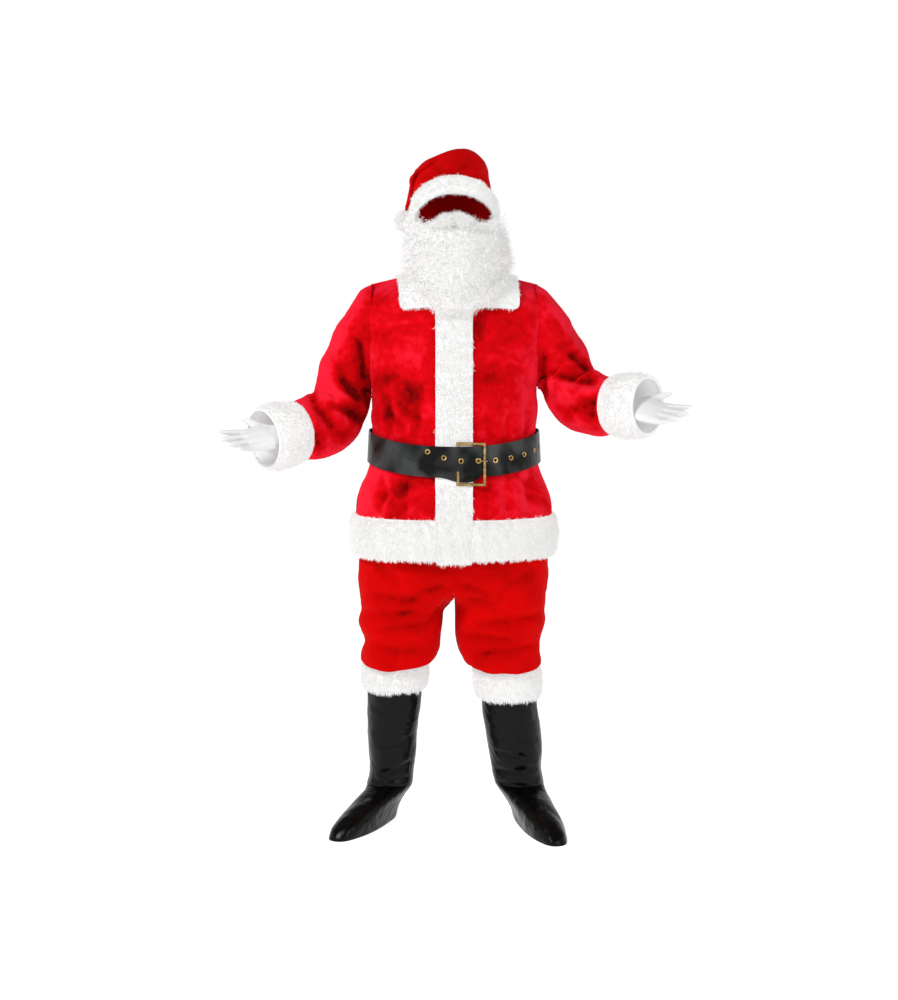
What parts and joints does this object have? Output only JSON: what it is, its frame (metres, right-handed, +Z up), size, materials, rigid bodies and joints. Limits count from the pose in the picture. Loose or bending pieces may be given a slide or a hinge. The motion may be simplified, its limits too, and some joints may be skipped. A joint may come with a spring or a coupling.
{
  "type": "santa suit",
  "caption": "Red plush suit with white fur trim: belted jacket, trousers, boot covers, folded hat, beard and gloves, worn and hollow.",
  "frame": {"origin": "middle of the neck opening between the shoulders, where the wearer's shoulders carry the jacket", "axes": "+Z up, the suit faces -Y, the wearer's left is +X"},
  "size_m": [1.2122, 0.4653, 1.8185],
  "materials": {
    "jacket_plush": "crimson velour with a short nap",
    "white_fur": "white long-pile faux fur",
    "belt_black": "soft-gloss black faux leather",
    "brass": "antique gold-coloured metal",
    "trouser_plush": "red velour, flatter than the jacket's",
    "boot_black": "black vinyl with soft highlights",
    "beard_hair": "white curled synthetic hair",
    "glove_white": "white cotton"
  },
  "bodies": {
    "root": {"jacket_front_right": "jacket_plush", "jacket_front_left": "jacket_plush", "jacket_back": "jacket_plush", "sleeve_right": "jacket_plush", "sleeve_left": "jacket_plush", "hat_crown": "jacket_plush", "hem_fur_front_right": "white_fur", "hem_fur_front_left": "white_fur", "hem_fur_back": "white_fur", "plastron": "white_fur", "collar": "white_fur", "cuff_fur_right": "white_fur", "cuff_fur_left": "white_fur", "trouser_band_right": "white_fur", "trouser_band_left": "white_fur", "hat_band": "white_fur", "pompom": "white_fur", "belt_strap": "belt_black", "eyelet_1": "brass", "eyelet_2": "brass", "eyelet_3": "brass", "eyelet_4": "brass", "eyelet_5": "brass", "eyelet_6": "brass", "eyelet_7": "brass", "eyelet_8": "brass", "eyelet_9": "brass", "buckle_frame": "brass", "buckle_prong": "brass", "trouser_right_front": "trouser_plush", "trouser_right_back": "trouser_plush", "trouser_left_front": "trouser_plush", "trouser_left_back": "trouser_plush", "waistband": "trouser_plush", "boot_shaft_right": "boot_black", "boot_foot_right": "boot_black", "boot_shaft_left": "boot_black", "boot_foot_left": "boot_black", "beard": "beard_hair", "moustache": "beard_hair", "glove_right": "glove_white", "glove_left": "glove_white"}
  },
  "joints": []
}
